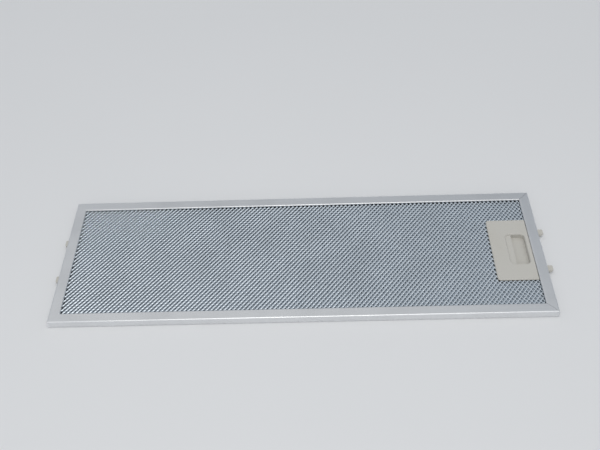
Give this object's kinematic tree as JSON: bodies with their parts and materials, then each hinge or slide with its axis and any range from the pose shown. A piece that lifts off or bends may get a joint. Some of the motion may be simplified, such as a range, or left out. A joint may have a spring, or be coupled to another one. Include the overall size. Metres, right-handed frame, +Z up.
{
  "type": "cooker hood grease filter",
  "caption": "Flat rectangular grease filter with folded aluminium rails, layered expanded mesh and a sprung finger latch at its end, for the underside of a cooker hood.",
  "frame": {"origin": "middle of the frame, on the surface that it lies on", "axes": "+X along the length towards the latch, +Y across the filter to the back, +Z up out of the front face"},
  "size_m": [0.509, 0.165, 0.0085],
  "materials": {
    "rail_aluminium": "satin, drawn sheet",
    "mesh_aluminium": "bright, slit and stretched sheet",
    "latch_plastic": "fine grain moulded",
    "spring_steel": "plain strip"
  },
  "bodies": {
    "filter": {"frame_channel": "rail_aluminium", "latch_rail": "rail_aluminium", "rear_mesh": "mesh_aluminium", "inner_mesh_1": "mesh_aluminium", "inner_mesh_2": "mesh_aluminium", "inner_mesh_3": "mesh_aluminium", "inner_mesh_4": "mesh_aluminium", "front_mesh": "mesh_aluminium", "latch_cover": "latch_plastic", "latch_base": "latch_plastic", "return_spring_front": "spring_steel", "return_spring_back": "spring_steel", "locating_lug_front": "latch_plastic", "locating_lug_back": "latch_plastic"},
    "latch": {"latch_slider": "latch_plastic"}
  },
  "joints": [
    {"name": "latch_slide", "type": "slide", "parent": "filter", "child": "latch", "axis": [-1, 0, 0], "range_m": [0, 0.006], "stiffness_N_per_m": 150, "springref_m": -0.004, "deforming": ["return_spring_front", "return_spring_back"]}
  ]
}
